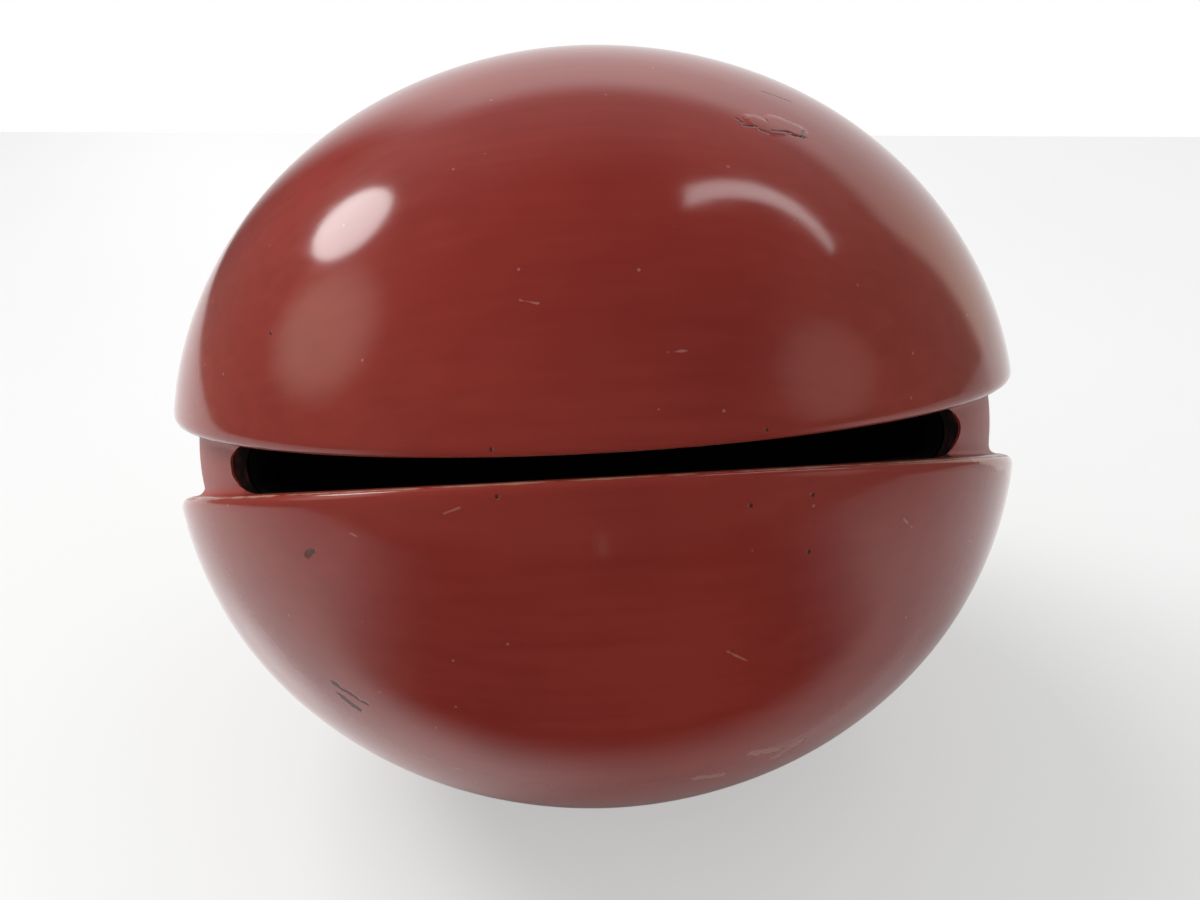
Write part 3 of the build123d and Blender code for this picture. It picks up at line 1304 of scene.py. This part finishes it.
# Borders of the bright wall, as its slopes across and up from the drum, from dark to bright
WALL_LEFT = (-0.65, -0.30)
WALL_RIGHT = (1.9, 1.5)
WALL_TOP = (1.0, 0.7)

# Glows that the lacquer mirrors: brightness, direction and the cosine at which they fade out
GLOWS = ((1.5, (-0.87, -0.02, 0.49), 0.945), (0.6, (0.84, -0.36, 0.40), 0.955))
GLOW_HEART = 0.995

# Light that the lacquer mirrors from above the wall: how strong it is, and where it fades in
ABOVE_LIGHT = 0.3
BACKWARD = (0.1, 0.6)
UPWARD = (0.35, 0.65)

# Light that it mirrors from beside: how strong and how warm it is, and where it fades in
BESIDE_LIGHT = 0.2
SIDEWAYS = (0.5, 0.9)
PLAIN_HUE = (1.0, 1.0, 1.0)
WARM_HUE = (1.0, 0.84, 0.70)

# Slopes to the wall are taken no further forward than this
LEAST_AHEAD = 0.01


def light_world(scene):
    """Even soft light, with a bright wall behind that the lacquer mirrors."""
    studio = scene.mokugyo_studio
    world = bpy.data.worlds.new("studio")
    tree = bare_tree(world)
    direction = put(tree, "ShaderNodeTexCoord").outputs["Generated"]
    x, y, z = axes(tree, direction)
    ahead = larger(tree, y, LEAST_AHEAD)
    across = sums(tree, "DIVIDE", x, ahead)
    upward = sums(tree, "DIVIDE", z, ahead)
    wall = times(tree, fade(tree, across, *WALL_LEFT), fade(tree, across, *WALL_RIGHT))
    wall = times(tree, wall, fade(tree, upward, *WALL_TOP))
    level = plus(tree, studio.dusk, wall, studio.sky)
    above = times(tree, fade(tree, ahead, *BACKWARD), fade(tree, z, *UPWARD))
    level = plus(tree, level, above, ABOVE_LIGHT)
    beside = fade(tree, sums(tree, "ABSOLUTE", x), *SIDEWAYS)
    level = plus(tree, level, beside, BESIDE_LIGHT)
    for glow, middle, border in GLOWS:
        near = vector(tree, "DOT_PRODUCT", direction, middle, "Value")
        level = plus(tree, level, fade(tree, near, border, GLOW_HEART), glow)
    path = put(tree, "ShaderNodeLightPath").outputs
    mirrored = sums(tree, "SUBTRACT", level, studio.fill)
    shown = plus(tree, studio.fill, path["Is Glossy Ray"], mirrored)
    shown = larger(tree, path["Is Camera Ray"], shown)
    warm = times(tree, beside, path["Is Glossy Ray"])
    hue = tint(tree, warm, PLAIN_HUE, WARM_HUE)
    background = put(tree, "ShaderNodeBackground", {"Color": hue, "Strength": shown})
    tree.links.new(background.outputs[0], put(tree, "ShaderNodeOutputWorld").inputs[0])
    scene.world = world


class MOKUGYO_OT_studio(bpy.types.Operator):
    """Set up the table, the light and the camera"""

    bl_idname = "mokugyo.studio"
    bl_label = "Studio"
    bl_options = {"REGISTER", "UNDO"}

    def execute(self, context):
        scene = context.scene
        scene.view_settings.view_transform = "Standard"
        add_table(scene)
        add_dark_card()
        light_world(scene)
        add_softbox(scene, "left_window", **WINDOW)
        key = add_softbox(scene, "soft_key", **KEY)
        key.visible_glossy = False
        add_light_arc(scene)
        add_camera(scene)
        return {"FINISHED"}


class MOKUGYO_PT_panel(bpy.types.Panel):
    """The drum's steps and settings"""

    bl_idname = "MOKUGYO_PT_panel"
    bl_label = "Mokugyo"
    bl_space_type = "VIEW_3D"
    bl_region_type = "UI"
    bl_category = "Mokugyo"

    def draw(self, context):
        for step in (MOKUGYO_OT_vermilion_skin, MOKUGYO_OT_inner_finishes, MOKUGYO_OT_studio):
            self.layout.operator(step.bl_idname)
        for settings in SETTINGS:
            values = getattr(context.scene, settings)
            box = self.layout.box()
            for name in values.bl_rna.properties.keys():
                if name not in ("rna_type", "name"):
                    box.prop(values, name)


SETTINGS = {"mokugyo_sizes": DrumSizes, "mokugyo_colours": DrumColours, "mokugyo_studio": DrumStudio}
CLASSES = (
    *SETTINGS.values(),
    MOKUGYO_OT_vermilion_skin,
    MOKUGYO_OT_inner_finishes,
    MOKUGYO_OT_studio,
    MOKUGYO_PT_panel,
)


def register():
    """Register the classes and hang the settings on the scene."""
    for kind in CLASSES:
        bpy.utils.register_class(kind)
    for name, kind in SETTINGS.items():
        setattr(bpy.types.Scene, name, bpy.props.PointerProperty(type=kind))


def unregister():
    """Take the settings off the scene and unregister the classes."""
    for name in SETTINGS:
        delattr(bpy.types.Scene, name)
    for kind in reversed(CLASSES):
        bpy.utils.unregister_class(kind)


def main():
    """Build everything in order."""
    register()
    bpy.ops.mokugyo.vermilion_skin()
    bpy.ops.mokugyo.inner_finishes()
    bpy.ops.mokugyo.studio()


if __name__ == "__main__":
    main()
